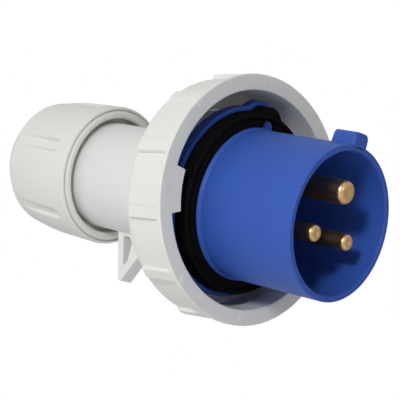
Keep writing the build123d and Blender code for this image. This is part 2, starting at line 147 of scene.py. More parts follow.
# moulded skin: fine spark-eroded grain, slow flow marks and patches of gloss
def mouldSkinGroup(marks):
    tree, given, made = newGroup(
        "mouldSkin",
        [("Grain Scale", 9000.0), ("Flow Scale", 55.0), ("Gloss", 0.4), ("Gloss Spread", 0.1),
         ("Tint", (0.8, 0.8, 0.8, 1)), ("Shade Tint", (0.7, 0.7, 0.7, 1))],
        ["Color", "Roughness", "Height"])
    place = objectPlace(tree)
    grain = noiseNode(tree, place, given["Grain Scale"], marks.grainDetail, marks.grainRough)
    flow = noiseNode(tree, place, given["Flow Scale"], marks.flowDetail, marks.flowRough)
    patch = spread(tree, flow, marks.patchLow, marks.patchHigh, 0.0, 1.0)
    speck = spread(tree, grain, marks.speckLow, marks.speckHigh, 0.0, 1.0)
    share = mathNode(tree, "MULTIPLY", patch, marks.shadeShare)
    feed(tree, mixColours(tree, share, given["Tint"], given["Shade Tint"]), made["Color"])
    centred = mathNode(tree, "SUBTRACT", patch, 0.5)
    swing = mathNode(tree, "MULTIPLY", centred, given["Gloss Spread"])
    swung = mathNode(tree, "ADD", given["Gloss"], swing)
    specks = mathNode(tree, "MULTIPLY", speck, marks.speckGloss)
    feed(tree, mathNode(tree, "ADD", swung, specks), made["Roughness"])
    waves = mathNode(tree, "MULTIPLY", flow, marks.flowHeight)
    feed(tree, mathNode(tree, "ADD", grain, waves), made["Height"])
    return tree


rubMarks = {
    "detail": 3.0, "rough": 0.6, "edgeLow": 0.51, "edgeHigh": 0.60, "patchLow": 0.35,
    "patchHigh": 0.65, "least": 0.35,
}


# edge rub: a mask on outer corners, broken up by noise
def edgeRubGroup(marks):
    tree, given, made = newGroup("edgeRub", [("Amount", 0.5), ("Break Scale", 400.0)], ["Mask"])
    shape = addNode(tree, "ShaderNodeNewGeometry")
    broken = noiseNode(tree, objectPlace(tree), given["Break Scale"], marks.detail, marks.rough)
    edge = spread(tree, shape.outputs["Pointiness"], marks.edgeLow, marks.edgeHigh, 0.0, 1.0)
    patch = spread(tree, broken, marks.patchLow, marks.patchHigh, marks.least, 1.0)
    both = mathNode(tree, "MULTIPLY", edge, patch)
    feed(tree, mathNode(tree, "MULTIPLY", both, given["Amount"]), made["Mask"])
    return tree


foldMarks = {"foldLow": 0.40, "foldHigh": 0.49}


# painted shade: the colour darkens where surfaces fold inwards, in the creases and hollows where
# shade falls
def paintedFoldShadeGroup(marks):
    tree, given, made = newGroup("paintedFoldShade", [("Amount", 0.4)], ["Mask"])
    shape = addNode(tree, "ShaderNodeNewGeometry")
    fold = spread(tree, shape.outputs["Pointiness"], marks.foldLow, marks.foldHigh, 1.0, 0.0)
    feed(tree, mathNode(tree, "MULTIPLY", fold, given["Amount"]), made["Mask"])
    return tree


latheMarks = {
    "roundScale": 3.0, "scale": 1.0, "detail": 3.0, "rough": 0.7, "bandLow": 0.35, "bandHigh": 0.65,
}


# turned marks: fine rings along the profile, read from the piece's own UV map
def turnedMarksGroup(marks):
    tree, given, made = newGroup(
        "turnedMarks", [("Ring Scale", 60.0), ("Gloss", 0.25), ("Gloss Spread", 0.1)],
        ["Height", "Roughness"])
    uv = addNode(tree, "ShaderNodeUVMap", uv_map="profile").outputs["UV"]
    run, clock, _ = addNode(tree, "ShaderNodeSeparateXYZ", {0: uv}).outputs
    along = mathNode(tree, "MULTIPLY", run, given["Ring Scale"])
    about = mathNode(tree, "MULTIPLY", clock, marks.roundScale)
    place = addNode(tree, "ShaderNodeCombineXYZ", {0: along, 1: about}).outputs[0]
    rings = noiseNode(tree, place, marks.scale, marks.detail, marks.rough)
    feed(tree, rings, made["Height"])
    band = spread(tree, rings, marks.bandLow, marks.bandHigh, 0.0, 1.0)
    centred = mathNode(tree, "SUBTRACT", band, 0.5)
    swing = mathNode(tree, "MULTIPLY", centred, given["Gloss Spread"])
    feed(tree, mathNode(tree, "ADD", given["Gloss"], swing), made["Roughness"])
    return tree


mouldSkin = mouldSkinGroup(named(skinMarks))
edgeRub = edgeRubGroup(named(rubMarks))
paintedFoldShade = paintedFoldShadeGroup(named(foldMarks))
turnedMarks = turnedMarksGroup(named(latheMarks))


def placeGroup(tree, group, values):
    return addNode(tree, "ShaderNodeGroup", values, node_tree=group).outputs


def newMaterial(name):
    material = bpy.data.materials.new(name)
    material.use_nodes = True
    return material, material.node_tree, material.node_tree.nodes["Principled BSDF"]


def bumpInto(tree, shader, height, strength, distance):
    values = {"Strength": strength, "Distance": distance * mm, "Height": height}
    bump = addNode(tree, "ShaderNodeBump", values)
    feed(tree, bump.outputs["Normal"], shader.inputs["Normal"])


# plastic or rubber from a mould, with rubbed corners and painted shade in its folds
def mouldedMaterial(name, look):
    material, tree, shader = newMaterial(name)
    skin = placeGroup(tree, mouldSkin, {
        "Grain Scale": look.grainScale, "Flow Scale": look.flowScale, "Gloss": look.gloss,
        "Gloss Spread": look.glossSpread, "Tint": look.colour + (1,),
        "Shade Tint": look.shade + (1,)})
    rub = placeGroup(tree, edgeRub, {"Amount": look.rub, "Break Scale": look.rubScale})
    # painted shade: a darker colour is mixed in where the surfaces fold inwards
    fold = placeGroup(tree, paintedFoldShade, {"Amount": look.fold})
    rubbed = mixColours(tree, rub["Mask"], skin["Color"], look.rubColour + (1,))
    folded = mixColours(tree, fold["Mask"], rubbed, look.foldColour + (1,))
    feed(tree, folded, shader.inputs["Base Color"])
    feed(tree, skin["Roughness"], shader.inputs["Roughness"])
    shader.inputs["Specular IOR Level"].default_value = look.specular
    bumpInto(tree, shader, skin["Height"], look.bump, look.bumpDepth)
    return material


# turned metal with tarnished patches
def metalMaterial(name, look):
    material, tree, shader = newMaterial(name)
    marks = placeGroup(tree, turnedMarks, {
        "Ring Scale": look.ringScale, "Gloss": look.gloss, "Gloss Spread": look.glossSpread})
    tarnish = noiseNode(tree, objectPlace(tree), look.tarnishScale, look.tarnishDetail,
                        look.tarnishRough)
    patch = spread(tree, tarnish, look.tarnishLow, look.tarnishHigh, 0.0, look.tarnish)
    feed(tree, mixColours(tree, patch, look.colour + (1,), look.shade + (1,)),
         shader.inputs["Base Color"])
    shader.inputs["Metallic"].default_value = look.metallic
    feed(tree, marks["Roughness"], shader.inputs["Roughness"])
    bumpInto(tree, shader, marks["Height"], look.bump, look.bumpDepth)
    return material


# in each look, the fold amount and the darker colour given with it paint shade into the folds
greyLook = {
    "colour": (0.755, 0.757, 0.745), "shade": (0.725, 0.728, 0.715), "gloss": 0.6,
    "glossSpread": 0.12, "grainScale": 5200.0, "flowScale": 45.0, "rub": 0.12, "rubScale": 420.0,
    "rubColour": (0.84, 0.84, 0.83), "fold": 0.5, "foldColour": (0.47, 0.47, 0.45),
    "specular": 0.45, "bump": 0.12, "bumpDepth": 0.05,
}
ringLook = dict(greyLook, colour=(0.785, 0.782, 0.752), shade=(0.755, 0.753, 0.724),
                flowScale=38.0)
nutLook = dict(greyLook, colour=(0.765, 0.772, 0.74), shade=(0.735, 0.743, 0.71), fold=0.3,
               rubColour=(0.82, 0.82, 0.79))
clawLook = dict(greyLook, colour=(0.60, 0.61, 0.61), shade=(0.55, 0.56, 0.56))
blueLook = {
    "colour": (0.033, 0.098, 0.44), "shade": (0.030, 0.088, 0.41), "gloss": 0.5,
    "glossSpread": 0.10, "grainScale": 5200.0, "flowScale": 50.0, "rub": 0.2, "rubScale": 500.0,
    "rubColour": (0.06, 0.14, 0.50), "fold": 0.5, "foldColour": (0.015, 0.03, 0.17),
    "specular": 0.3, "bump": 0.12, "bumpDepth": 0.05,
}
# black rubber, painted darker than the seal's rubber below as painted shade for the ring's shadow
# that falls on the gasket
gasketLook = {
    "colour": (0.0025, 0.0025, 0.003), "shade": (0.005, 0.005, 0.005), "gloss": 0.7,
    "glossSpread": 0.16, "grainScale": 7000.0, "flowScale": 120.0, "rub": 0.35, "rubScale": 700.0,
    "rubColour": (0.012, 0.012, 0.012), "fold": 0.2, "foldColour": (0.002, 0.002, 0.002),
    "specular": 0.05, "bump": 0.2, "bumpDepth": 0.04,
}
sealLook = dict(gasketLook, colour=(0.022, 0.022, 0.023), shade=(0.03, 0.03, 0.03), specular=0.2)
innerLook = dict(gasketLook, colour=(0.05, 0.05, 0.052), shade=(0.065, 0.065, 0.065), gloss=0.4,
                 specular=0.2)
brassLook = {
    "colour": (0.82, 0.54, 0.26), "shade": (0.55, 0.35, 0.16), "metallic": 1.0, "gloss": 0.34,
    "glossSpread": 0.015, "ringScale": 900.0, "tarnish": 0.6, "tarnishScale": 900.0,
    "tarnishDetail": 4.0, "tarnishRough": 0.6, "tarnishLow": 0.35, "tarnishHigh": 0.7,
    "bump": 0.03, "bumpDepth": 0.004,
}
steelLook = dict(brassLook, colour=(0.62, 0.62, 0.60), shade=(0.5, 0.5, 0.47), gloss=0.32)

slotLooks = {
    "housing_plastic": ("greyPlastic", greyLook), "ring_plastic": ("ringPlastic", ringLook),
    "nut_plastic": ("nutPlastic", nutLook), "claw_plastic": ("clawPlastic", clawLook),
    "blue_plastic": ("bluePlastic", blueLook), "gasket_rubber": ("gasketRubber", gasketLook),
    "seal_rubber": ("sealRubber", sealLook), "inner_plastic": ("innerPlastic", innerLook),
    "pin_brass": ("pinBrass", brassLook), "screw_steel": ("screwSteel", steelLook),
}
slotMaterials = {}
for slotName, (materialName, slotLook) in slotLooks.items():
    makeMaterial = metalMaterial if "metallic" in slotLook else mouldedMaterial
    slotMaterials[slotName] = makeMaterial(materialName, named(slotLook))
print("stage: materials made")

# roundings that the moulded and turned corners of several pieces share
hair = 0.1
fine = 0.2
soft = 0.3
mild = 0.4
blunt = 0.5
full = 1.0

meshSettings = {
    "tiny": 1e-6,  # mm, a corner beside a shorter side isn't rounded
    "spunMerge": 1e-7, "slabMerge": 1e-6,  # metres
    "crowd": (-2.0, -1.0, -0.5, 0.0, 0.5, 1.0, 2.0),  # extra steps at an edge, in its softness
    "crowdClear": 2.4, "faceWeight": 90, "bevelSteps": 3, "slabArcSteps": 5,
}
meshing = named(meshSettings)


# corners are (at, r, rounding) and maybe a mark; a rounded corner becomes an arc with its mark
def roundedProfile(corners, steps):
    profile = []
    count = len(corners)
    for i, (at, r, rounding, *marks) in enumerate(corners):
        mark = marks[0] if marks else ""
        here = Vector((at, r))
        before = Vector(corners[i - 1][:2]) - here
        after = Vector(corners[(i + 1) % count][:2]) - here
        if rounding <= 0 or min(before.length, after.length) < meshing.tiny:
            profile.append((at, r, mark))
            continue
        before.normalize()
        after.normalize()
        half = before.angle(after) / 2
        cut = rounding / math.tan(half)
        middle = here + (before + after).normalized() * (rounding / math.sin(half))
        start = (here + before * cut) - middle
        end = (here + after * cut) - middle
        sweep = math.atan2(start.x * end.y - start.y * end.x, start.dot(end))
        for k in range(steps + 1):
            angle = sweep * k / steps
            swung = Vector((start.x * math.cos(angle) - start.y * math.sin(angle),
                            start.x * math.sin(angle) + start.y * math.cos(angle)))
            profile.append((middle.x + swung.x, middle.y + swung.y, mark))
    return profile


# clock angles of both edges of each rib, lug or flute
def edgeClocks(count, phase, half):
    return [phase + 360.0 / count * i + side * half for i in range(count) for side in (-1, 1)]


# even steps all round, with extra ones at each edge of a rib, lug or flute
def spinSteps(count, edges=(), softness=0.5):
    steps = {round(360.0 * i / count, 4) for i in range(count)}
    for edge in edges:
        clear = meshing.crowdClear * softness
        steps = {s for s in steps
                 if min(abs(s - edge % 360), 360 - abs(s - edge % 360)) > clear}
        steps |= {round((edge + softness * k) % 360.0, 4) for k in meshing.crowd}
    return sorted(steps)


def fromBmesh(name, bm):
    mesh = bpy.data.meshes.new(name)
    bm.to_mesh(mesh)
    bm.free()
    return linked(name, mesh)


# rounded corners spun round the axis; bend(at, r, clock, mark) may change the radius
def spun(name, corners, steps, arcSteps=6, bend=None, closed=True):
    profile = roundedProfile(corners, arcSteps)
    bm = bmesh.new()
    layers = {m: bm.verts.layers.float.new(m) for m in sorted({p[2] for p in profile if p[2]})}
    uvLayer = bm.loops.layers.uv.new("profile")
    runs = [0.0]
    for a, b in zip(profile, profile[1:] + profile[:1]):
        runs.append(runs[-1] + math.dist(a[:2], b[:2]))
    grid = []
    for clock in steps:
        row = []
        angle = math.radians(clock)
        for at, r, mark in profile:
            radius = bend(at, r, clock, mark) if bend else r
            vert = bm.verts.new((-at * mm, radius * math.sin(angle) * mm,
                                 radius * math.cos(angle) * mm))
            if mark:
                vert[layers[mark]] = 1.0
            row.append(vert)
        grid.append(row)
    last = len(profile) if closed else len(profile) - 1
    for i in range(len(steps)):
        j = (i + 1) % len(steps)
        turnHere = steps[i] / 360.0
        turnNext = (steps[j] if j else steps[j] + 360.0) / 360.0
        for k in range(last):
            m = (k + 1) % len(profile)
            face = bm.faces.new((grid[i][k], grid[i][m], grid[j][m], grid[j][k]))
            uvs = ((runs[k], turnHere), (runs[k + 1], turnHere),
                   (runs[k + 1], turnNext), (runs[k], turnNext))
            for loop, (u, v) in zip(face.loops, uvs):
                loop[uvLayer].uv = (u * mm, v)
    bmesh.ops.remove_doubles(bm, verts=bm.verts, dist=meshing.spunMerge)
    bmesh.ops.recalc_face_normals(bm, faces=bm.faces)
    return fromBmesh(name, bm)


# a skin over rows of points, closed along each row and capped at both ends
def lofted(name, rows):
    bm = bmesh.new()
    rows = [[bm.verts.new(place) for place in row] for row in rows]
    for one, two in zip(rows, rows[1:]):
        for k in range(len(one)):
            m = (k + 1) % len(one)
            bm.faces.new((one[k], one[m], two[m], two[k]))
    bm.faces.new(rows[0])
    bm.faces.new(rows[-1])
    bmesh.ops.recalc_face_normals(bm, faces=bm.faces)
    return fromBmesh(name, bm)


# smooth faces with crisp corners, evened by face area, then a plain mesh
def finished(obj, slot, sharp=38.0):
    obj.data.materials.clear()
    obj.data.materials.append(slotMaterials[slot])
    weighted = obj.modifiers.new("evenNormals", "WEIGHTED_NORMAL")
    weighted.keep_sharp = True
    weighted.weight = meshing.faceWeight
    markSharp(obj.data, sharp)
    return plain(obj)


def markSharp(mesh, angle):
    bm = bmesh.new()
    bm.from_mesh(mesh)
    limit = math.radians(angle)
    for face in bm.faces:
        face.smooth = True
    for edge in bm.edges:
        edge.smooth = len(edge.link_faces) == 2 and edge.calc_face_angle(0.0) < limit
    bm.to_mesh(mesh)
    bm.free()


# what the modifiers or the curve make, as a mesh with none left on it
def plain(obj):
    bpy.context.view_layer.update()
    graph = bpy.context.evaluated_depsgraph_get()
    mesh = bpy.data.meshes.new_from_object(obj.evaluated_get(graph), depsgraph=graph)
    name = obj.name
    mesh.name = name
    obj.modifiers.clear()
    if obj.type == "MESH":
        obj.data = mesh
        return obj
    bpy.data.objects.remove(obj)
    return linked(name, mesh)


def joined(name, parts):
    bm = bmesh.new()
    for part in parts:
        bm.from_mesh(part.data)
        bpy.data.objects.remove(part)
    return fromBmesh(name, bm)


class TreeMaker:
    def __init__(self, name, inputs):
        self.tree = bpy.data.node_groups.new(name, "GeometryNodeTree")
        addSocket(self.tree, "Geometry", "Geometry")
        for socketName, kind, value in inputs:
            addSocket(self.tree, socketName, kind).default_value = value
        addSocket(self.tree, "Material", "Material")
        addSocket(self.tree, "Geometry", "Geometry", "OUTPUT")
        self.given = self.add("NodeGroupInput").outputs

    def add(self, kind, inputs=None, **settings):
        return addNode(self.tree, kind, inputs, **settings)

    def sum(self, operation, *values):
        return mathNode(self.tree, operation, *values)

    def close(self, geometry):
        real = self.add("GeometryNodeRealizeInstances", {"Geometry": geometry})
        painted = self.add("GeometryNodeSetMaterial",
                           {"Geometry": real.outputs[0], "Material": self.given["Material"]})
        self.add("NodeGroupOutput", {0: painted.outputs[0]})
        return self.tree


# pushes the marked points of a spun piece to a target radius, in equal places round the axis
def reliefTree():
    maker = TreeMaker("roundRelief", [
        ("Count", "Int", 6), ("Phase", "Float", 0.0), ("Width", "Float", 0.003),
        ("Edge", "Float", 0.0003), ("Target Radius", "Float", 0.02), ("Mark", "String", "")])
    given = maker.given
    calc = maker.sum
    place = maker.add("GeometryNodeInputPosition").outputs[0]
    _, y, z = maker.add("ShaderNodeSeparateXYZ", {0: place}).outputs
    clock = calc("ARCTAN2", y, z)
    period = calc("DIVIDE", 2 * math.pi, given["Count"])
    phase = calc("RADIANS", given["Phase"])
    halfPeriod = calc("MULTIPLY", period, 0.5)
    local = calc("WRAP", calc("SUBTRACT", clock, phase), halfPeriod,
                 calc("MULTIPLY", halfPeriod, -1.0))
    away = calc("MULTIPLY", calc("ABSOLUTE", local), given["Target Radius"])
    halfWidth = calc("MULTIPLY", given["Width"], 0.5)
    halfEdge = calc("MULTIPLY", given["Edge"], 0.5)
    outerEnd = calc("ADD", halfWidth, halfEdge)
    innerEnd = calc("SUBTRACT", halfWidth, halfEdge)
    inside = spread(maker.tree, away, outerEnd, innerEnd, 0.0, 1.0)
    marked = maker.add("GeometryNodeInputNamedAttribute", {"Name": given["Mark"]},
                       data_type="FLOAT")
    share = calc("MULTIPLY", inside, marked.outputs["Attribute"])
    square = calc("ADD", calc("MULTIPLY", y, y), calc("MULTIPLY", z, z))
    radius = calc("SQRT", square)
    gap = calc("SUBTRACT", given["Target Radius"], radius)
    push = calc("DIVIDE", calc("MULTIPLY", gap, share), radius)
    outward = maker.add("ShaderNodeCombineXYZ", {1: y, 2: z}).outputs[0]
    offset = maker.add("ShaderNodeVectorMath", {0: outward, "Scale": push},
                       operation="SCALE").outputs[0]
    moved = maker.add("GeometryNodeSetPosition", {"Geometry": given["Geometry"], "Offset": offset})
    return maker.close(moved.outputs[0])


# copies the incoming piece evenly round the plug's axis
def roundArrayTree():
    maker = TreeMaker("roundArray", [("Count", "Int", 8), ("Phase", "Float", 0.0)])
    given = maker.given
    points = maker.add("GeometryNodePoints", {"Count": given["Count"]}).outputs[0]
    index = maker.add("GeometryNodeInputIndex").outputs[0]
    step = maker.sum("DIVIDE", -2 * math.pi, given["Count"])
    angle = maker.sum("SUBTRACT", maker.sum("MULTIPLY", index, step),
                      maker.sum("RADIANS", given["Phase"]))
    spin = maker.add("ShaderNodeCombineXYZ", {0: angle}).outputs[0]
    copies = maker.add("GeometryNodeInstanceOnPoints", {
        "Points": points, "Instance": given["Geometry"], "Rotation": spin})
    return maker.close(copies.outputs[0])


roundRelief = reliefTree()
roundArray = roundArrayTree()


def grow(obj, tree, slot, values):
    modifier = obj.modifiers.new(tree.name, "NODES")
    modifier.node_group = tree
    values = dict(values, Material=slotMaterials[slot])
    for item in tree.interface.items_tree:
        if item.in_out == "INPUT" and item.name in values:
            modifier[item.identifier] = values[item.name]


# ribs, lugs or flutes: the points with this mark go to the given radius
def relieve(obj, slot, mark, count, phase, width, edge, radius):
    grow(obj, roundRelief, slot, {
        "Count": count, "Phase": phase, "Width": width * mm, "Edge": edge * mm,
        "Target Radius": radius * mm, "Mark": mark})


def addPiece(obj, body, slot, *replaced):
    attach(obj, body)
    if replaced:
        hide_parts(*replaced)


ringSize = {
    "front": 31.1, "length": 17.2, "lipR": 36.4, "lipLength": 1.5, "bodyR": 35.3, "taper": 0.4,
    "corner": 3.2, "boreR": 31.7, "flange": 2.5, "holeR": 26.3, "edge": 0.45, "lipRound": 0.35,
    "lipStep": 0.4, "ribs": 12, "ribWidth": 3.5, "ribPhase": -107.3, "ribLead": 0.9,
    "ribEnd": 3.4, "ribFade": 0.6, "ribDrop": 0.3, "ribGap": 0.1, "tailDrop": 0.32,
    "ribR": 36.3, "ribEdge": 0.5, "lugs": 2, "lugR": 28.65, "lugSpan": 23.6,
    "lugThickness": 3.5, "lugPhase": -95.8, "lugEdge": 0.25, "lugGap": 0.02, "lugLead": 0.3,
    "pivot": 47.4, "tip": 7.0, "tipClock": -45.0, "steps": 180, "softness": 0.4,
    "pips": 8, "pipR": 1.45, "pipCircle": 34.3, "pipPhase": -6.2, "pipProud": 0.07,
    "pipSink": 0.2, "pipFlare": 0.05, "pipRound": 0.8, "pipSteps": 28, "pipArcSteps": 4,
}


def makeRing(size):
    rear = size.front + size.length
    inside = rear - size.flange
    ribEnd = rear - size.ribEnd
    lipEnd = size.front + size.lipLength
    lugEnd = size.front + size.lugThickness
    corners = [
        (size.front, size.boreR, size.edge, "lug"),
        (size.front, size.lipR, size.edge),
        (lipEnd, size.lipR, size.lipRound),
        (lipEnd + size.lipStep, size.bodyR, soft, "rib"),
        (lipEnd + size.ribLead, size.bodyR, 0, "rib"),
        (ribEnd - size.ribFade, size.bodyR - size.ribDrop, 0, "rib"),
        (ribEnd + size.ribGap, size.bodyR - size.tailDrop, 0),
        (rear, size.bodyR - size.taper, size.corner),
        (rear, size.holeR, blunt),
        (inside, size.holeR, blunt),
        (inside, size.boreR, full),
        (lugEnd + size.lugGap, size.boreR, 0),
        (lugEnd, size.boreR, 0, "lug"),
        (lugEnd - size.lugLead, size.boreR, 0, "lug"),
    ]
    ribHalf = math.degrees(size.ribWidth / 2 / size.ribR)
    edges = edgeClocks(size.ribs, size.ribPhase, ribHalf)
    edges += edgeClocks(size.lugs, size.lugPhase, size.lugSpan / 2)
    ring = spun("couplingRing", corners, spinSteps(size.steps, edges, size.softness))
    relieve(ring, "ring_plastic", "rib", size.ribs, size.ribPhase, size.ribWidth, size.ribEdge,
            size.ribR)
    lugWidth = math.radians(size.lugSpan) * size.lugR
    relieve(ring, "ring_plastic", "lug", size.lugs, size.lugPhase, lugWidth, size.lugEdge,
            size.lugR)
    ring = finished(plain(ring), "ring_plastic")
    across = math.radians(size.tipClock)
    tipAxis = Vector((0, -math.cos(across), math.sin(across)))
    pivot = Vector((-size.pivot, 0, 0)) * mm
    tipped = (Matrix.Translation(pivot) @ Matrix.Rotation(math.radians(size.tip), 4, tipAxis)
              @ Matrix.Translation(-pivot))
    ring.data.transform(tipped)
    # round marks that the ejector pins leave on the front face
    proud = size.front - size.pipProud
    sunk = size.front + size.pipSink
    pipCorners = [(sunk, 0, 0), (proud, 0, 0),
                  (proud, size.pipR, size.pipProud * size.pipRound),
                  (sunk, size.pipR + size.pipFlare, 0)]
    pip = spun("ringPips", pipCorners, spinSteps(size.pipSteps), size.pipArcSteps)
    pip.data.transform(Matrix.Translation((0, 0, size.pipCircle * mm)))
    grow(pip, roundArray, "ring_plastic", {"Count": size.pips, "Phase": size.pipPhase})
    pip = finished(plain(pip), "ring_plastic")
    pip.data.transform(tipped)
    return ring, pip


couplingRing, ringPips = makeRing(named(ringSize))
addPiece(couplingRing, "ring", "ring_plastic", "bayonet_ring")
addPiece(ringPips, "ring", "ring_plastic")
print("stage: bayonet ring")

nutSize = {
    "front": 90.6, "end": 124.0, "mouthR": 18.3, "lipR": 20.8, "lipRound": 1.15,
    "grooveWidth": 0.35, "grooveDepth": 1.3, "grooveRound": 0.04, "frontStep": 0.6,
    "frontR": 22.0, "frontRound": 0.8, "creaseAt": 109.0, "creaseR": 21.5, "creaseRound": 60.0,
    "shoulderAt": 119.0, "shoulderR": 19.9, "faceR": 16.2, "faceRound": 1.6, "endRound": 4.2,
    "mouthDepth": 4.8, "threadR": 16.36, "wallAt": 119.1, "chamberAt": 108.5,
    "chamberR": 15.2, "holeR": 9.2, "flutes": 6, "fluteWidth": 3.5, "fluteR": 20.45,
    "fluteFrom": 97.0, "fluteLead": 0.25, "fluteTail": 0.2, "fluteRise": 0.03,
    "flutePhase": -18.0, "fluteEdge": 0.7, "steps": 180, "softness": 0.7, "arcSteps": 8,
}


def makeNut(size):
    front = size.front
    frontStep = front + size.frontStep
    grooveAt = front + size.grooveDepth
    grooveR = size.lipR + size.grooveWidth
    mouthEnd = front + size.mouthDepth
    slope = (size.frontR - size.creaseR) / (size.creaseAt - front - size.frontStep)
    fluteR = size.frontR - slope * (size.fluteFrom - front - size.frontStep)
    fall = (size.creaseR - size.shoulderR) / (size.shoulderAt - size.creaseAt)
    fluteEnd = size.creaseAt + (size.creaseR - size.fluteR) / fall
    corners = [
        (front, size.mouthR, size.lipRound),
        (front, size.lipR, size.lipRound),
        (grooveAt, size.lipR, hair),
        (grooveAt, grooveR, hair),
        (frontStep, grooveR, size.grooveRound),
        (frontStep, size.frontR, size.frontRound),
        (size.fluteFrom - size.fluteLead, fluteR, 0),
        (size.fluteFrom + size.fluteLead, fluteR, 0, "flute"),
        (size.creaseAt, size.creaseR, size.creaseRound, "flute"),
        (fluteEnd - size.fluteTail, size.fluteR + size.fluteRise, 0, "flute"),
        (size.shoulderAt, size.shoulderR, size.endRound),
        (size.end, size.faceR, size.faceRound),
        (size.end, size.holeR, full),
        (size.wallAt, size.holeR, soft),
        (size.wallAt, size.chamberR, mild),
        (size.chamberAt, size.chamberR, 0),
        (size.chamberAt, size.threadR, 0),
        (mouthEnd, size.threadR, soft),
        (mouthEnd, size.mouthR, soft),
    ]
    half = math.degrees(size.fluteWidth / 2 / size.fluteR)
    edges = edgeClocks(size.flutes, size.flutePhase, half)
    nut = spun("capNut", corners, spinSteps(size.steps, edges, size.softness), size.arcSteps)
    relieve(nut, "nut_plastic", "flute", size.flutes, size.flutePhase, size.fluteWidth,
            size.fluteEdge, size.fluteR)
    return finished(plain(nut), "nut_plastic")


addPiece(makeNut(named(nutSize)), "nut", "nut_plastic", "gland_nut")
print("stage: gland nut")

housingSize = {
    "frontAt": 41.3, "mouthR": 22.9, "neckR": 25.5, "shoulderAt": 52.0, "shoulderR": 27.5,
    "shoulderRound": 0.6, "coneAt": 54.5, "coneRound": 1.2, "coneEnd": 65.0, "coneFoot": 3.0,
    "collarR": 17.3, "collarEnd": 68.5, "collarRound": 0.25, "step": 0.5, "tubeR": 16.75,
    "threadAt": 94.6, "threadR": 16.3, "threadRound": 0.15, "end": 108.0, "endRound": 0.6,
    "seatR": 13.3, "seatAt": 101.0, "boreR": 9.8, "boreLength": 4.0, "funnelLength": 8.0,
    "innerR": 14.45, "innerLead": 0.77, "steps": 192,
    "loopThickness": 4.9, "loopEdge": 0.3, "loopCorner": 0.5,
    "loop": [(81.6, 15.6), (76.2, 31.4), (75.0, 31.4), (65.8, 15.6)],
    "loopHole": [(78.56, 17.75), (75.41, 26.98), (74.2, 24.58), (74.2, 19.35), (75.8, 17.75)],
}


# flat outline with rounded edges, drawn in its own plane
def slab(name, loops, thickness, edge, corner):
    curve = bpy.data.curves.new(name, "CURVE")
    curve.dimensions = "2D"
    curve.fill_mode = "BOTH"
    curve.extrude = (thickness / 2 - edge) * mm
    curve.bevel_depth = edge * mm
    curve.bevel_resolution = meshing.bevelSteps
    curve.offset = -edge * mm
    for outline in loops:
        points = roundedProfile([(x, y, corner) for x, y in outline], meshing.slabArcSteps)
        spline = curve.splines.new("POLY")
        spline.points.add(len(points) - 1)
        for point, (x, y, _) in zip(spline.points, points):
            point.co = (x * mm, y * mm, 0, 1)
        spline.use_cyclic_u = True
    obj = plain(linked(name, curve))
    bm = bmesh.new()
    bm.from_mesh(obj.data)
    bmesh.ops.remove_doubles(bm, verts=bm.verts, dist=meshing.slabMerge)
    bmesh.ops.recalc_face_normals(bm, faces=bm.faces)
    bm.to_mesh(obj.data)
    bm.free()
    return obj


def makeHousing(size):
    slope = (size.shoulderR - size.collarR) / (size.coneEnd - size.coneAt)
    innerFrom = size.coneAt + size.innerLead
    innerTo = innerFrom + (size.mouthR - size.innerR) / slope
    corners = [
        (size.frontAt, size.mouthR, fine),
        (size.frontAt, size.neckR, mild),
        (size.shoulderAt, size.neckR, soft),
        (size.shoulderAt, size.shoulderR, size.shoulderRound),
        (size.coneAt, size.shoulderR, size.coneRound),
        (size.coneEnd, size.collarR, size.coneFoot),
        (size.collarEnd, size.collarR, size.collarRound),
        (size.collarEnd + size.step, size.tubeR, size.collarRound),
        (size.threadAt, size.tubeR, fine),
        (size.threadAt + size.step, size.threadR, size.threadRound),
        (size.end, size.threadR, size.endRound),
        (size.end, size.seatR, soft),
        (size.seatAt, size.seatR, fine),
        (size.seatAt, size.boreR, mild),
        (size.seatAt - size.boreLength, size.boreR, blunt),
        (size.seatAt - size.funnelLength, size.innerR, full),
        (innerTo, size.innerR, full),
        (innerFrom, size.mouthR, full),
    ]
    shell = spun("housingShell", corners, spinSteps(size.steps))
    loop = slab("cordLoop", [size.loop, size.loopHole], size.loopThickness, size.loopEdge,
                size.loopCorner)
    # the outline is drawn as (at, r): turned so that r points away from the key
    loop.data.transform(Matrix(((-1, 0, 0, 0), (0, 0, 1, 0), (0, -1, 0, 0), (0, 0, 0, 1))))
    return finished(joined("housingShell", [shell, loop]), "housing_plastic")


addPiece(makeHousing(named(housingSize)), "housing", "housing_plastic", "rear_housing")
print("stage: rear housing")

shroudSize = {
    "outerR": 22.0, "innerR": 20.2, "depth": 38.0, "rimRound": 0.5, "footR": 22.5,
    "footFrom": 32.4, "gasketAt": 33.5, "rimAt": 37.8, "floorAt": 39.8, "backAt": 41.3,
    "flangeR": 28.1, "bulge": 6.8, "channelR": 26.8, "channelBulge": 5.5, "channelRound": 0.25,
    "spigotR": 22.8, "spigotInnerR": 20.3, "spigotEnd": 48.9, "ledgeR": 19.0, "ledgeBack": 39.2,
    "bulgeCentre": 23.6, "blend": 2.5, "steps": 180, "sink": 0.9,
    "keyWidth": 6.4, "keyHeight": 3.6, "keyLength": 9.8, "keySlope": 2.0, "keyCorner": 1.7,
    "keyChamfer": 2.2, "keyFront": 0.8, "keyTopEdge": 0.3, "keyTail": 0.05,
    "keySideShare": 0.95, "keyTopShare": 0.6, "keySteps": (8, 5, 12, 6),
    "finWidth": 4.6, "finHeight": 3.0, "finAt": 34.2, "finTail": 0.5, "finEdge": 0.35,
    "finSteps": 16,
}
keyedSettings = {"fineStep": 0.6, "fineCount": 40, "coarseFrom": 24.5}


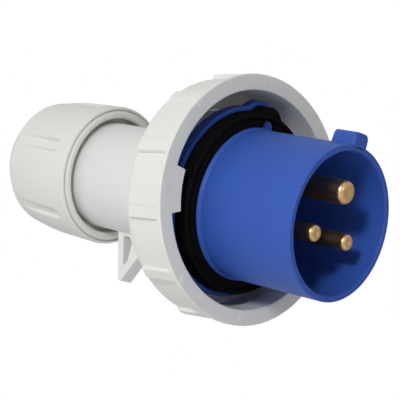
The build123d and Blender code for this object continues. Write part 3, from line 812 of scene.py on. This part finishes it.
# radius of the outline that bulges round the key, at a clock angle
def keyedRadius(clock, r, bulge):
    centre = shroudSize["bulgeCentre"]
    blend = shroudSize["blend"]
    angle = math.radians(abs((clock + 180.0) % 360.0 - 180.0))
    waistZ = ((r + blend) ** 2 - (bulge + blend) ** 2 + centre ** 2) / (2 * centre)
    waistY = math.sqrt((r + blend) ** 2 - waistZ ** 2)
    waistAngle = math.atan2(waistY, waistZ)
    toBulge = Vector((waistY, waistZ - centre)).normalized() * bulge
    bulgeAngle = math.atan2(toBulge.x, toBulge.y + centre)
    if angle >= waistAngle:
        return r
    if angle <= bulgeAngle:
        return centre * math.cos(angle) + math.sqrt(bulge ** 2 - (centre * math.sin(angle)) ** 2)
    reach = math.hypot(waistY, waistZ)
    inside = blend ** 2 - (reach * math.sin(angle - waistAngle)) ** 2
    return reach * math.cos(angle - waistAngle) - math.sqrt(max(inside, 0.0))


# even steps all round, with fine ones on the key's side
def keyedSteps(count):
    keyed = named(keyedSettings)
    fineSteps = [i * keyed.fineStep for i in range(-keyed.fineCount, keyed.fineCount + 1)]
    even = [360.0 * i / count for i in range(count)]
    steps = {round(s, 4) for s in even if keyed.coarseFrom < s < 360.0 - keyed.coarseFrom}
    return sorted(steps | {round(s % 360.0, 4) for s in fineSteps})


# block that guides the plug into the socket's keyway, lofted along the axis
def makeKey(size):
    foot = size.outerR - size.sink
    top = size.outerR + size.keyHeight
    front = size.keyFront
    back = size.keyLength - size.keyChamfer
    frontSteps, middleSteps, backSteps, arcSteps = size.keySteps
    stations = [front * (1 - math.cos(math.pi / 2 * k / frontSteps)) for k in range(frontSteps + 1)]
    stations += [front + (back - front) * k / middleSteps for k in range(1, middleSteps + 1)]
    stations += [back + size.keyChamfer * k / backSteps for k in range(1, backSteps)]
    stations.append(size.keyLength - size.keyTail)
    rows = []
    for at in stations:
        fromBack = size.keyLength - at
        half = size.keyWidth / 2
        topZ = top
        if at < front:
            curve = 1 - math.sqrt(max(1 - (1 - at / front) ** 2, 0.0))
            half -= front * curve
            topZ -= size.keyTopEdge * curve
        half -= max(size.keyChamfer - fromBack, 0.0)
        topZ = min(topZ, foot + (top - foot) * fromBack / size.keySlope)
        bend = min(size.keyCorner, half * size.keySideShare, (topZ - foot) * size.keyTopShare)
        outline = [(-half, foot)]
        for middleY, startAngle in ((-half + bend, math.pi), (half - bend, math.pi / 2)):
            for k in range(arcSteps + 1):
                angle = startAngle - math.pi / 2 * k / arcSteps
                outline.append((middleY + bend * math.cos(angle),
                                topZ - bend + bend * math.sin(angle)))
        outline.append((half, foot))
        rows.append([(-at * mm, y * mm, z * mm) for y, z in outline])
    return lofted("key", rows)


# small round-topped fin at the shroud's foot, in the gasket's notch
def makeFin(size):
    half = size.finWidth / 2
    foot = size.outerR - size.sink
    centre = size.outerR + size.finHeight - half
    outline = [(-half, foot)]
    for k in range(size.finSteps + 1):
        angle = math.pi * k / size.finSteps
        outline.append((-half * math.cos(angle), centre + half * math.sin(angle)))
    outline.append((half, foot))
    length = size.floorAt + size.finTail - size.finAt
    fin = slab("fin", [outline], length, size.finEdge, 0.0)
    middle = -(size.finAt + length / 2) * mm
    fin.data.transform(Matrix(((0, 0, 1, middle), (1, 0, 0, 0), (0, 1, 0, 0), (0, 0, 0, 1))))
    return fin


def makeShroud(size):
    corners = [
        (0, size.innerR, size.rimRound),
        (0, size.outerR, size.rimRound),
        (size.footFrom, size.outerR, blunt),
        (size.gasketAt, size.footR, mild),
        (size.floorAt, size.footR, fine),
        (size.floorAt, size.channelR, 0, "channel"),
        (size.rimAt, size.channelR, size.channelRound, "channel"),
        (size.rimAt, size.flangeR, soft, "flange"),
        (size.backAt, size.flangeR, soft, "flange"),
        (size.backAt, size.spigotR, fine),
        (size.spigotEnd, size.spigotR, soft),
        (size.spigotEnd, size.spigotInnerR, soft),
        (size.ledgeBack, size.spigotInnerR, hair),
        (size.ledgeBack, size.ledgeR, hair),
        (size.depth, size.ledgeR, hair),
        (size.depth, size.innerR, soft),
    ]

    def bend(at, r, clock, mark):
        if mark == "flange":
            return r + keyedRadius(clock, size.flangeR, size.bulge) - size.flangeR
        if mark == "channel":
            return r + keyedRadius(clock, size.channelR, size.channelBulge) - size.channelR
        return r

    body = spun("keyedShroud", corners, keyedSteps(size.steps), bend=bend)
    parts = [body, makeKey(size), makeFin(size)]
    return finished(joined("keyedShroud", parts), "blue_plastic")


addPiece(makeShroud(named(shroudSize)), "housing", "blue_plastic", "shroud")
print("stage: shroud")

gasketSize = {
    "front": 33.5, "back": 39.8, "innerR": 22.6, "outerR": 26.7, "bulge": 5.4, "outerRound": 0.6,
    "notchHalf": 2.8, "notchCentre": 22.7, "notchLip": 0.15, "lip": 0.35, "lipWidth": 1.5,
    "lipHeight": 0.5, "lipSlope": 0.3, "lipRound": 0.15, "steps": 180, "arcSteps": 3,
}


def makeGasket(size):
    front = size.front
    recess = front + size.lipHeight
    inner = size.innerR + size.lipWidth
    outer = size.outerR - size.lipWidth
    corners = [
        (size.back, size.innerR, fine),
        (front, size.innerR, size.lip),
        (front, inner, size.lipRound),
        (recess, inner + size.lipSlope, size.lipRound),
        (recess, outer - size.lipSlope, size.lipRound),
        (front, outer, size.lipRound),
        (front, size.outerR, size.outerRound, "keyed"),
        (size.back, size.outerR, fine, "keyed"),
    ]

    # follows the keyed outline outside, and arches over the fin's notch inside
    def bend(at, r, clock, mark):
        radius = r
        if mark == "keyed":
            radius += keyedRadius(clock, size.outerR, size.bulge) - size.outerR
        angle = math.radians((clock + 180.0) % 360.0 - 180.0)
        side = size.notchCentre * math.sin(angle)
        if abs(side) < size.notchHalf:
            arch = size.notchCentre * math.cos(angle) + math.sqrt(size.notchHalf ** 2 - side ** 2)
            radius = max(radius, arch + (r - size.innerR) * size.notchLip)
        return radius

    gasket = spun("flangeRubber", corners, keyedSteps(size.steps), size.arcSteps, bend)
    return finished(gasket, "gasket_rubber")


addPiece(makeGasket(named(gasketSize)), "housing", "gasket_rubber", "flange_gasket")
print("stage: gasket")

pinSizes = {
    "earth": {"r": 3.5, "tip": 0.0, "headR": 5.2, "wireR": 2.6, "clock": 0.0},
    "line": {"r": 2.5, "tip": 1.6, "headR": 4.3, "wireR": 2.2, "clock": 120.0},
    "neutral": {"r": 2.5, "tip": 1.6, "headR": 4.3, "wireR": 2.2, "clock": -120.0},
}
pinShape = {
    "circle": 8.75, "collarAt": 38.5, "collar": 0.4, "headAt": 46.0, "end": 56.0, "boreAt": 47.0,
    "boreTip": 0.8, "tipShare": 0.5, "dimpleShare": 0.26, "dimpleDepth": 0.5, "steps": 72,
    "arcSteps": 10, "sharp": 45.0,
}


def makePin(name, size, shape):
    collarR = size.r + shape.collar
    corners = [
        (size.tip + shape.dimpleDepth, 0, 0),
        (size.tip, size.r * shape.dimpleShare, fine),
        (size.tip, size.r, size.r * shape.tipShare),
        (shape.collarAt, size.r, hair),
        (shape.collarAt, collarR, hair),
        (shape.headAt, collarR, hair),
        (shape.headAt, size.headR, fine),
        (shape.end, size.headR, soft),
        (shape.end, size.wireR, fine),
        (shape.boreAt, size.wireR, 0),
        (shape.boreAt - shape.boreTip, 0, 0),
    ]
    pin = spun(name + "ContactPin", corners, spinSteps(shape.steps), shape.arcSteps, closed=False)
    pin = finished(pin, "pin_brass", shape.sharp)
    angle = math.radians(size.clock)
    pin.data.transform(Matrix.Translation(
        (0, shape.circle * math.sin(angle) * mm, shape.circle * math.cos(angle) * mm)))
    return pin


for pinName, pinSize in pinSizes.items():
    pinPiece = makePin(pinName, named(pinSize), named(pinShape))
    addPiece(pinPiece, "housing", "pin_brass", pinName + "_pin")
print("stage: pins")

glandSize = {
    "front": 101.0, "seatEnd": 108.0, "end": 117.5, "outerR": 13.2, "tipR": 11.6, "boreR": 9.8,
    "slots": 10, "slotWidth": 1.2, "slotAt": 106.4, "slotRound": 0.05, "baseSteps": 120,
    "rootOverlap": 0.3, "fingerGap": 0.01, "fingerRound": 0.6, "fingerColumns": 12,
    "sealR": 6.5, "sealEnd": 116.0, "sealGap": 0.1, "sealRound": 0.25, "sealSteps": 96,
    "grooves": (9.0, 8.2, 7.4), "grooveTop": 0.22, "grooveFoot": 0.08, "grooveDepth": 0.35,
    "grooveTopRound": 0.08, "grooveFootRound": 0.03,
    "clampFront": 109.0, "clampEnd": 118.7, "clampOuterR": 14.9, "clampGap": 0.35,
    "clampSteps": 120, "arcSteps": 4,
}


# ring of spring fingers round the cord
def makeClaw(size):
    base = spun("clawBase", [
        (size.front, size.boreR, fine),
        (size.front, size.outerR, soft),
        (size.slotAt, size.outerR, size.slotRound),
        (size.slotAt, size.boreR, size.slotRound),
    ], spinSteps(size.baseSteps), size.arcSteps)
    rootAt = size.slotAt - size.rootOverlap
    fingerR = size.outerR - size.fingerGap
    profile = roundedProfile([
        (rootAt, size.boreR, 0),
        (rootAt, fingerR, 0),
        (size.seatEnd, fingerR, size.fingerRound),
        (size.end, size.tipR, size.fingerRound),
        (size.end, size.boreR, blunt),
    ], size.arcSteps)
    step = 360.0 / size.slots
    rows = []
    for i in range(size.fingerColumns + 1):
        row = []
        for at, r, _ in profile:
            half = math.radians(step / 2) - size.slotWidth / 2 / r
            angle = half * (2 * i / size.fingerColumns - 1)
            row.append((-at * mm, r * math.sin(angle) * mm, r * math.cos(angle) * mm))
        rows.append(row)
    fingers = lofted("clawFinger", rows)
    grow(fingers, roundArray, "claw_plastic", {"Count": size.slots, "Phase": 0.0})
    return finished(joined("cordClaw", [base, plain(fingers)]), "claw_plastic")


# rubber sleeve with rings cut into its end, which are pulled out to fit the cord
def makeSeal(size):
    outerR = size.boreR - size.sealGap
    end = size.sealEnd
    footAt = end - size.grooveDepth
    corners = [
        (size.front, size.sealR, mild),
        (size.front, outerR, soft),
        (end, outerR, soft),
    ]
    for r in size.grooves:
        corners += [
            (end, r + size.grooveTop, size.grooveTopRound),
            (footAt, r + size.grooveFoot, size.grooveFootRound),
            (footAt, r - size.grooveFoot, size.grooveFootRound),
            (end, r - size.grooveTop, size.grooveTopRound),
        ]
    corners.append((end, size.sealR, size.sealRound))
    seal = spun("cordSeal", corners, spinSteps(size.sealSteps), size.arcSteps)
    return finished(seal, "seal_rubber")


# slip ring with the cone that closes the fingers
def makeClamp(size):
    slope = (size.outerR - size.tipR) / (size.end - size.seatEnd)
    frontR = size.outerR - slope * (size.clampFront - size.seatEnd) + size.clampGap
    endR = size.outerR - slope * (size.clampEnd - size.seatEnd) + size.clampGap
    corners = [
        (size.clampFront, frontR, fine),
        (size.clampFront, size.clampOuterR, fine),
        (size.clampEnd, size.clampOuterR, mild),
        (size.clampEnd, endR, mild),
    ]
    clamp = spun("slipRing", corners, spinSteps(size.clampSteps), size.arcSteps)
    return finished(clamp, "claw_plastic")


gland = named(glandSize)
addPiece(makeClaw(gland), "housing", "claw_plastic", "gland_claw")
addPiece(makeSeal(gland), "housing", "seal_rubber", "gland_seal")
addPiece(makeClamp(gland), "clamp", "claw_plastic", "clamp_ring")
print("stage: gland parts")

nodeSlots = {part["node"]: part["material_slot"] for part in frame["record"]["subparts"]}
for nodeName, node in nodes.items():
    node.data.materials.clear()
    node.data.materials.append(slotMaterials[nodeSlots[nodeName]])
print("stage: frame pieces finished")

stageSize = {
    "floorZ": -160.0, "half": 4000.0, "floorColour": 0.9, "floorRough": 0.9, "worldLight": 0.69,
    "aheadLight": 0.0, "aheadFrom": 0.0, "aheadTo": 0.7, "mirrorLow": 0.14, "mirrorHigh": 0.54,
    "mirrorSpan": 0.7, "aim": (-45.0, 0, 0),
}
lamps = {
    # "way" is side, up and towards the camera, in the camera's own directions
    "keyLamp": {"way": (-0.25, 0.39, 0.885), "distance": 700.0, "size": 110.0, "power": 2.06},
    "sideLamp": {"way": (-0.92, 0.1, 0.38), "distance": 900.0, "size": 500.0, "power": 0.48},
    "lowLamp": {"way": (-0.63, -0.77, 0.05), "distance": 900.0, "size": 500.0, "power": 2.8},
    "frontLamp": {"way": (0.55, 0.2, 0.8), "distance": 900.0, "size": 500.0, "power": 0.6},
}


# one shader for the named kind of ray, another for the rest
def byRay(tree, ray, others, shown):
    path = addNode(tree, "ShaderNodeLightPath").outputs[ray]
    return addNode(tree, "ShaderNodeMixShader", {0: path, 1: others, 2: shown}).outputs[0]


def makeFloor(size):
    half = size.half * mm
    z = size.floorZ * mm
    mesh = bpy.data.meshes.new("floor")
    mesh.from_pydata([(-half, -half, z), (half, -half, z), (half, half, z), (-half, half, z)],
                     [], [(0, 1, 2, 3)])
    floor = linked("floor", mesh)
    material, tree, shader = newMaterial("paleFloor")
    shader.inputs["Base Color"].default_value = (size.floorColour,) * 3 + (1,)
    shader.inputs["Roughness"].default_value = size.floorRough
    # the camera sees plain white, all other rays the shaded floor
    white = addNode(tree, "ShaderNodeEmission", {"Color": (1, 1, 1, 1)})
    seen = byRay(tree, "Is Camera Ray", shader.outputs[0], white.outputs[0])
    feed(tree, seen, tree.nodes["Material Output"].inputs["Surface"])
    mesh.materials.append(material)


# light from behind the plug, fading out towards the shroud's open side; what shiny pieces
# mirror is graded by height, and the camera sees white
def makeWorld(size):
    world = bpy.data.worlds.new("studio")
    bpy.context.scene.world = world
    world.use_nodes = True
    tree = world.node_tree
    place = addNode(tree, "ShaderNodeTexCoord").outputs["Generated"]
    ahead, _, height = addNode(tree, "ShaderNodeSeparateXYZ", {0: place}).outputs
    level = spread(tree, ahead, size.aheadFrom, size.aheadTo, size.worldLight, size.aheadLight)
    overhead = spread(tree, height, -size.mirrorSpan, size.mirrorSpan, size.mirrorLow,
                      size.mirrorHigh)

    tree.nodes.remove(tree.nodes["Background"])

    def light(strength):
        values = {"Color": (1, 1, 1, 1), "Strength": strength}
        return addNode(tree, "ShaderNodeBackground", values).outputs[0]

    shown = byRay(tree, "Is Glossy Ray", light(level), light(overhead))
    shown = byRay(tree, "Is Camera Ray", shown, light(1.0))
    feed(tree, shown, tree.nodes["World Output"].inputs["Surface"])


def makeLamp(name, lamp, target):
    data = bpy.data.lights.new(name, "AREA")
    data.shape = "DISK"
    data.size = lamp.size * mm
    data.energy = lamp.power
    obj = linked(name, data)
    side, up, near = lamp.way
    way = (cameraRight * side + cameraUp * up + cameraBack * near).normalized()
    obj.location = target + way * lamp.distance * mm
    obj.rotation_euler = way.to_track_quat("Z", "Y").to_euler()


makeFloor(named(stageSize))
makeWorld(named(stageSize))
plugMiddle = Vector(stageSize["aim"]) * mm
for lampName, lampSettings in lamps.items():
    makeLamp(lampName, named(lampSettings), plugMiddle)
bpy.context.scene.view_settings.view_transform = "Standard"
print("stage: floor, world and lamps")
